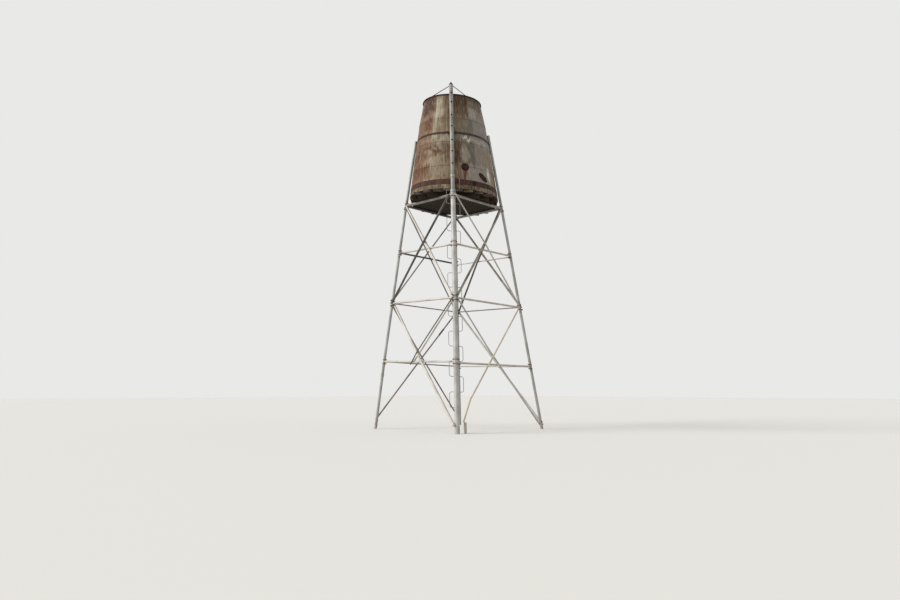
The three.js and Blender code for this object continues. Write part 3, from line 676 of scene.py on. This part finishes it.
def make_stage():
    """Pale floor and soft light, the brighter side at the view's left."""
    mesh = bpy.data.meshes.new("floor")
    bm = bmesh.new()
    bmesh.ops.create_grid(bm, x_segments=1, y_segments=1, size=60)
    bm.to_mesh(mesh)
    bm.free()
    floor = bpy.data.objects.new("floor", mesh)
    bpy.context.scene.collection.objects.link(floor)
    material, _, shader = new_material("pale_floor", 0.9)
    shader.inputs["Base Color"].default_value = linear("#c9c7c2")
    floor.data.materials.append(material)
    world = bpy.data.worlds.new("studio")
    world.use_nodes = True
    world.node_tree.nodes["Background"].inputs["Color"].default_value = linear("#e9e9e8")
    world.node_tree.nodes["Background"].inputs["Strength"].default_value = 1.0
    bpy.context.scene.world = world
    light = bpy.data.lights.new("key", "SUN")
    light.energy = 3.0
    light.angle = math.radians(35)
    lamp = bpy.data.objects.new("key", light)
    toward = Vector((0.45, 0.75, -0.60))
    lamp.rotation_euler = toward.to_track_quat("-Z", "Y").to_euler()
    bpy.context.scene.collection.objects.link(lamp)
    bpy.context.scene.view_settings.view_transform = "Standard"


def set_material(material, *names):
    """Gives carried nodes their finish."""
    for name in names:
        node = nodes[name]
        node.data.materials.clear()
        node.data.materials.append(material)


def board_rows(radius, last_edge):
    """The boards of a layer on both sides of its middle: near edge, far edge and half length."""
    rows = []
    for row in range(BOARDS_A_SIDE):
        middle = (row + 0.5) * BOARD_WIDTH
        rows.append((row * BOARD_WIDTH, (row + 1) * BOARD_WIDTH, math.sqrt(radius ** 2 - middle ** 2)))
    if last_edge:
        rows.append((BOARDS_A_SIDE * BOARD_WIDTH, last_edge, math.sqrt(radius ** 2 - last_edge ** 2)))
    return rows + [(-outer, -inner, reach) for inner, outer, reach in rows]


# What sets one board apart from the next: half the crack beside it, how much shorter its ends may
# be, and how much thinner it may be
CRACK = (0.002, 0.005)
SHORT_END = 0.02
THINNER = 0.002


def make_boards_layer(name, node, turn_degrees, radius, low, high, last_edge, wood, ends):
    """Separate boards in place of the solid layer, with gaps between them and sawn ends."""
    bm = bmesh.new()
    turn = Matrix.Rotation(math.radians(turn_degrees), 4, "Z")
    for near, far, reach in board_rows(radius, last_edge):
        crack = random.uniform(*CRACK)
        left = -reach + random.uniform(0.0, SHORT_END)
        right = reach - random.uniform(0.0, SHORT_END)
        made = bmesh.ops.create_cube(bm, size=1.0)
        width = far - near - 2 * crack
        scale = Matrix.Diagonal((right - left, width, high - low - THINNER * random.random(), 1))
        middle = Matrix.Translation(((left + right) / 2, (near + far) / 2, (low + high) / 2))
        bmesh.ops.transform(bm, matrix=RACKING @ turn @ middle @ scale, verts=made["verts"])
    bmesh.ops.recalc_face_normals(bm, faces=bm.faces)
    # The ends of the boards have a look of their own
    along = (RACKING.to_3x3() @ turn.to_3x3() @ Vector((1, 0, 0))).normalized()
    for face in bm.faces:
        face.material_index = 1 if abs(face.normal.dot(along)) > 0.9 else 0
    bmesh.ops.bevel(bm, geom=list(bm.edges), offset=0.003, offset_type="OFFSET", affect="EDGES",
                    segments=1, profile=0.5, material=-1)
    return finish_piece(name, bm, [wood, ends], node)


make_camera()
make_stage()

# Galvanised sheet, riveted: it gives the eye tan and grey fields broken by rust
tank_sheet = make_tank_sheet()

# Galvanised pipe, drawn and hot dipped, from light to dark. On the legs, rust shows at the rings,
# and elsewhere where the pipes are clamped at the corners.
# Even mid grey with soft mottling, the cleanest pipe of the tower
near_pipe = make_pipe("dull_galvanised_pipe", "#b1b0ad", "#94928d", "#7d6a58", 0.25, leg=True)
# The same grey, dirtied by what runs off the tank
mast_pipe = make_pipe("stained_galvanised_mast", "#92918c", "#706b62", "#5f4734", 0.5, leg=True)
# Cooler and darker, with rusted patches at the clamps
side_pipe = make_pipe("grey_galvanised_leg", "#a2a29f", "#85847f", "#795c43", 0.55, leg=True)
# Bleached, slightly warm zinc with brown ends
bright_pipe = make_pipe("pale_galvanised_rail", "#bab5ac", "#9b9689", "#8b6a4b", 0.6)
# Zinc under a film of grime
dull_pipe = make_pipe("grimy_galvanised_brace", "#929089", "#726e67", "#6f5039", 0.65)
# Zinc stained brown all over
brown_pipe = make_pipe("brown_stained_brace", "#817870", "#625851", "#624232", 0.7)
# Zinc gone almost black in the shade
dark_pipe = make_pipe("dark_weathered_brace", "#605e59", "#43403c", "#4c3529", 0.7)
# Light neutral zinc
light_pipe = make_pipe("light_grey_brace", "#b5b3ad", "#96938c", "#7f6049", 0.5)
# Worn cream paint over pipe
cream_pipe = make_pipe("cream_painted_brace", "#c3b9a4", "#a2967f", "#86664b", 0.6)
# Zinc in large light and dark patches
half_dark_pipe = make_pipe("half_dark_brace", "#9b9489", "#57514a", "#5c4334", 0.6)

# Bare rolled steel, rusted through. Each differs in how brown or black it has gone.
clamp_steel = make_rusted("rusted_clamps", "#5a4638", "#6f5542", "#37291f")
hoop_steel = make_rusted("black_brown_hoop", "#38322b", "#4b4238", "#26221e")
band_steel = make_rusted("dark_red_rusted_band", "#41302a", "#523a2f", "#2b201c")
rim_steel = make_rusted("black_rusted_rim", "#2a2420", "#3e2e24", "#191615")
floor_steel = make_rusted("rusted_tank_floor", "#513525", "#684834", "#322018")
port_steel = make_rusted("dark_rusted_port", "#33231f", "#432a21", "#241816")

# Sawn softwood. The faces' near-black tone is partly the wood's own weathered brown and partly painted shade
# of the deck's underside; the end grain is greyer where it meets the weather
upper_boards_with_painted_shade = make_boards("weathered_deck_boards_upper_painted_shade", (1, -1, 0), "#33281c", "#1a140f")
lower_boards_with_painted_shade = make_boards("weathered_deck_boards_lower_painted_shade", (1, 1, 0), "#32261a", "#18120d")
end_wood = make_boards("sawn_board_ends", (1, 1, 0), "#6f675b", "#2e2822")

set_material(tank_sheet, *[f"tank_course_{k}" for k in range(1, LAST_COURSE + 2)])
set_material(near_pipe, "leg_front_right", "leg_front_right_sleeve")
set_material(mast_pipe, "leg_front_right_mast")
set_material(side_pipe, "leg_front_left", "leg_back_left", "leg_back_right")
set_material(hoop_steel, "tank_hoop")
set_material(band_steel, "tank_bottom_band")
set_material(rim_steel, "tank_rim", "mast_cap", "stay_left", "stay_right")
set_material(floor_steel, "tank_floor")
set_material(port_steel, "tank_port_left", "tank_port_right")
set_material(bright_pipe, "stake_front_right", "rail_lower_front", "rail_lower_right", "rail_middle_front",
             "rail_middle_right", "rail_upper_front", "rail_upper_right", "rail_upper_back",
             "brace_lower_front_falling_right", "brace_upper_front_falling_right",
             "brace_lower_front_falling_left")
set_material(light_pipe, "brace_upper_right_falling_right", "brace_lower_right_falling_right",
             "brace_lower_back_falling_left", "rail_lower_back")
set_material(cream_pipe, "brace_lower_right_falling_left")
set_material(half_dark_pipe, "brace_upper_right_falling_left", "brace_upper_back_falling_left")
set_material(dull_pipe, "climbing_rod", "rail_deck_front", "rail_deck_back", "rail_deck_right",
             "brace_upper_left_falling_left", "brace_upper_left_falling_right")
set_material(dark_pipe, "rail_deck_left", "rail_upper_left", "brace_upper_front_falling_left",
             "brace_upper_back_falling_right", "brace_lower_front_falling_left_outer")
set_material(brown_pipe, "rail_lower_left", "rail_middle_left", "rail_middle_back",
             "brace_lower_left_falling_left", "brace_lower_left_falling_right")

# The deck's boards, in place of its two solid layers. Each layer fills a circle, and the upper one
# has a narrow board at either side.
LOWER_DECK_RADIUS = 0.958
UPPER_DECK_RADIUS = 1.0
UPPER_DECK_EDGE = 0.982
deck_base = RINGS["deck"] + DECK_RAIL + GAP
board = (TANK_BOTTOM - deck_base - 3 * GAP) / 2
upper_base = deck_base + board + GAP
# Both layers have the darkened board faces, which carry painted shade of the deck's underside
make_boards_layer("deck_lower_planks", "deck_lower_boards", 45, LOWER_DECK_RADIUS,
                  deck_base, deck_base + board, None, lower_boards_with_painted_shade, lower_boards_with_painted_shade)
make_boards_layer("deck_upper_planks", "deck_upper_boards", -45, UPPER_DECK_RADIUS,
                  upper_base, deck_base + 2 * board + GAP, UPPER_DECK_EDGE, upper_boards_with_painted_shade, end_wood)

# Rivets along the laps, and the upright lap seams with their rivets. Three sheets make a course,
# so its seams stand a third of a turn apart, from one that is given for each course.
RIVET_RADIUS = 0.0055
RIVETS_TO_A_LAP = 96
RIVETS_TO_A_SEAM = 9
SEAM_ANGLES = (-92, -42, -76, -76)
SEAM_HALF_WIDTH = 0.022
SEAM_SEAT = 0.0002
SEAM_THICKNESS = 0.0022
SEAM_FOOT_ROOM = 0.004
SEAM_ROOM = 0.01
SEAM_RIVET_INSET = 0.03
small_rivet = rivet(RIVET_RADIUS)
rivets = bmesh.new()
for course in range(1, LAST_COURSE + 1):
    height = TANK_BOTTOM + course * COURSE - LAP / 2
    for k in range(RIVETS_TO_A_LAP):
        angle = k * 360 / RIVETS_TO_A_LAP
        point = wall_point(angle, height)
        stamp(rivets, small_rivet, facing(racked(*point), wall_normal(angle, height)))
seams = bmesh.new()
for course, first_seam in enumerate(SEAM_ANGLES):
    low = TANK_BOTTOM + course * COURSE + SEAM_FOOT_ROOM
    high = low + COURSE - LAP - SEAM_ROOM
    for angle in (first_seam, first_seam + 120, first_seam + 240):
        half = math.degrees(SEAM_HALF_WIDTH / wall_radius(low))
        curved_plate(seams, angle - half, angle + half, low, high, SEAM_SEAT, SEAM_THICKNESS, 4)
        for k in range(RIVETS_TO_A_SEAM):
            riveted = high - low - 2 * SEAM_RIVET_INSET
            height = low + SEAM_RIVET_INSET + riveted * k / (RIVETS_TO_A_SEAM - 1)
            point = wall_point(angle, height, SEAM_THICKNESS)
            stamp(rivets, small_rivet, facing(racked(*point), wall_normal(angle, height)))
finish_piece("tank_seams", seams, [tank_sheet])
shade_smooth(finish_piece("tank_rivets", rivets, [tank_sheet]))

# Bolts of the ports: eight round the round one, six round the oval one. Length and width are half
# those of the ring of bolts, and fall is how many degrees its length points down.
PORTS = (
    {"angle": -28.1, "height": 5.566, "length": 0.066, "width": 0.066, "fall": 0, "bolts": 8},
    {"angle": -1.8, "height": 5.395, "length": 0.106, "width": 0.04, "fall": 38, "bolts": 6},
)
PORT_FACE = 0.0142
# Each bolt by the radius and height of its head and the radius of its washer
big_bolt = hex_bolt(0.0125, 0.010, 0.019)
middling_bolt = hex_bolt(0.010, 0.008, 0.0155)
port_bolts = bmesh.new()
for port in PORTS:
    normal = wall_normal(port["angle"], port["height"])
    bearing = math.radians(port["angle"])
    aside = Vector((-math.sin(bearing), math.cos(bearing), 0))
    down = aside.cross(normal)
    tilt = math.radians(port["fall"])
    for k in range(port["bolts"]):
        turn = 2 * math.pi * k / port["bolts"]
        x = port["length"] * math.cos(turn)
        y = port["width"] * math.sin(turn)
        across = aside * (x * math.cos(tilt) - y * math.sin(tilt))
        offset = across + down * (x * math.sin(tilt) + y * math.cos(tilt))
        place = wall_point(port["angle"], port["height"]) + offset + normal * PORT_FACE
        stamp(port_bolts, middling_bolt, facing(racked(*place), normal))
finish_piece("port_bolts", port_bolts, [rim_steel])

# Bolts that hold the mast to the tank, on the mast's outer face
MAST_BOLT_HEIGHTS = (5.608, 5.891, 6.155, 6.485, 6.755, 7.069, 7.29)
MAST_FACE = MAST_PIPE + 0.0001
mast_bolts = bmesh.new()
outward = Vector((1, -1, 0)).normalized()
for height in MAST_BOLT_HEIGHTS:
    centre = leg_point("front_right", height)
    stamp(mast_bolts, big_bolt, facing(racked(*(centre + outward * MAST_FACE)), outward))
finish_piece("mast_bolts", mast_bolts, [rim_steel])

# U-bolts that clamp each leg over and under its rings, with a nut at each end
CLAMP_ROD = 0.0055
CLAMP_LIFT = 0.045
CLAMP_TAIL = 0.045
CLAMP_NUT_INSET = 0.006
clamps = bmesh.new()
for ring_height in RINGS.values():
    for name, leg in LEGS.items():
        size = leg["body"] + CLAMP_ROD
        out = Vector((*leg["corner"], 0)).normalized()
        side = Vector((-out.y, out.x, 0))
        for lift in (-CLAMP_LIFT, CLAMP_LIFT):
            centre = leg_point(name, ring_height + lift)
            turns = [math.radians(degrees) for degrees in range(-90, 91, 18)]
            arc = [centre + (out * math.cos(turn) + side * math.sin(turn)) * size for turn in turns]
            path = [arc[0] - out * CLAMP_TAIL, *arc, arc[-1] - out * CLAMP_TAIL]
            bent_rod(clamps, [racked(*point) for point in path], CLAMP_ROD, 8)
            for end in (path[0], path[-1]):
                stamp(clamps, middling_bolt, facing(racked(*(end + out * CLAMP_NUT_INSET)), -out))
finish_piece("leg_u_bolts", clamps, [clamp_steel])

# Bolt heads where the braces meet the legs: leg, height, the side that they face, and how far out
FRONT = (0, -1)
RIGHT = (1, 0)
BRACE_ENDS = [
    ("front_right", 4.83, FRONT, 0.078), ("front_left", 2.72, FRONT, 0.05),
    ("front_left", 4.82, FRONT, 0.034), ("front_right", 2.71, FRONT, 0.08),
    ("front_right", 4.82, RIGHT, 0.091), ("back_right", 2.71, RIGHT, 0.034),
    ("back_right", 4.83, RIGHT, 0.034), ("front_right", 2.72, RIGHT, 0.071),
    ("front_left", 2.60, FRONT, 0.034), ("front_right", 2.60, RIGHT, 0.083),
    ("back_right", 0.16, RIGHT, 0.034), ("back_right", 2.60, RIGHT, 0.056),
    ("front_right", 2.58, FRONT, 0.052),
]
brace_bolts = bmesh.new()
for name, height, side, stand_off in BRACE_ENDS:
    out = Vector((*side, 0))
    stamp(brace_bolts, big_bolt, facing(racked(*(leg_point(name, height) + out * stand_off)), out))
finish_piece("brace_end_bolts", brace_bolts, [clamp_steel])

# Pipe couplings on the front left leg and on the mast, and the wider sleeve of the near leg:
# leg, low end, high end and radius
COUPLINGS = (
    ("front_left", 1.02, 1.085, 0.0355),
    ("front_right", 5.29, 5.35, 0.0505),
    ("front_right", *SLEEVE, 0.0572),
)
COUPLING_ROUNDING = 0.003
couplings = bmesh.new()
for name, low, high, size in COUPLINGS:
    ends = [racked(*leg_point(name, height)) for height in (low, high)]
    short_pipe(couplings, *ends, size, COUPLING_ROUNDING)
finish_piece("pipe_couplings", couplings, [side_pipe])

# Rings of wire just off both ends of the sleeve
RING_WIRE = 0.0045
RING_STAND_OFF = 0.004
rings = bmesh.new()
for height, size in ((SLEEVE[0] - RING_STAND_OFF, 0.0535), (SLEEVE[1] + RING_STAND_OFF, 0.0475)):
    wire_ring(rings, leg_point("front_right", height), size, RING_WIRE)
finish_piece("sleeve_rings", rings, [rim_steel])

# Splice sleeve on a brace of the left side, from its upper to its lower end
SPLICE_TOP = (-1.080, 0.601, 2.205)
SPLICE_FOOT = (-1.097, 0.476, 2.064)
SPLICE_RADIUS = 0.0215
SPLICE_ROUNDING = 0.002
splice = bmesh.new()
short_pipe(splice, racked(*SPLICE_TOP), racked(*SPLICE_FOOT), SPLICE_RADIUS, SPLICE_ROUNDING)
finish_piece("brace_splice", splice, [dark_pipe])

# The break in the bottom band: two ears that stand out from it, with two bolts through them
EAR_ANGLES = (-18.1, -16.1)
EAR_HALF_THICKNESS = 0.2
EAR_FOOT = 5.175
EAR_TOP = 5.255
EAR_SEAT = 0.004
EAR_REACH = 0.035
EAR_BOLT_HEIGHTS = (5.195, 5.235)
EAR_BOLT_ANGLES = (-19.6, -14.6)
EAR_BOLT_OUT = 0.024
EAR_BOLT_RADIUS = 0.007
EAR_BOLT_ROUNDING = 0.0015
ears = bmesh.new()
for angle in EAR_ANGLES:
    start = angle - EAR_HALF_THICKNESS
    curved_plate(ears, start, angle + EAR_HALF_THICKNESS, EAR_FOOT, EAR_TOP, EAR_SEAT, EAR_REACH, 1)
for height in EAR_BOLT_HEIGHTS:
    ends = [racked(*wall_point(angle, height, EAR_BOLT_OUT)) for angle in EAR_BOLT_ANGLES]
    short_pipe(ears, *ends, EAR_BOLT_RADIUS, EAR_BOLT_ROUNDING)
finish_piece("band_ears", ears, [rim_steel])

# Lugs of the hoop at both sides of each leg, each with a bolt through it that points at the leg.
# Reaches and half widths are in degrees round the tank.
LUG_REACH = 6
LUG_HALF_WIDTH = 1.3
LUG_FOOT = 6.330
LUG_TOP = 6.390
LUG_SEAT = 0.0065
LUG_THICKNESS = 0.012
HOOP_BOLT_HEIGHT = 6.36
HOOP_BOLT_REACHES = (3.2, 8)
HOOP_BOLT_OUT = 0.0165
HOOP_BOLT_RADIUS = 0.006
HOOP_BOLT_ROUNDING = 0.001
CORNERS = (-135, -45, 45, 135)
lugs = bmesh.new()
for corner in CORNERS:
    for angle in (corner - LUG_REACH, corner + LUG_REACH):
        start = angle - LUG_HALF_WIDTH
        curved_plate(lugs, start, angle + LUG_HALF_WIDTH, LUG_FOOT, LUG_TOP, LUG_SEAT, LUG_THICKNESS, 3)
for corner in CORNERS:
    for side in (-1, 1):
        angles = [corner + side * reach for reach in HOOP_BOLT_REACHES]
        ends = [racked(*wall_point(angle, HOOP_BOLT_HEIGHT, HOOP_BOLT_OUT)) for angle in angles]
        short_pipe(lugs, *ends, HOOP_BOLT_RADIUS, HOOP_BOLT_ROUNDING)
finish_piece("hoop_lugs", lugs, [hoop_steel])
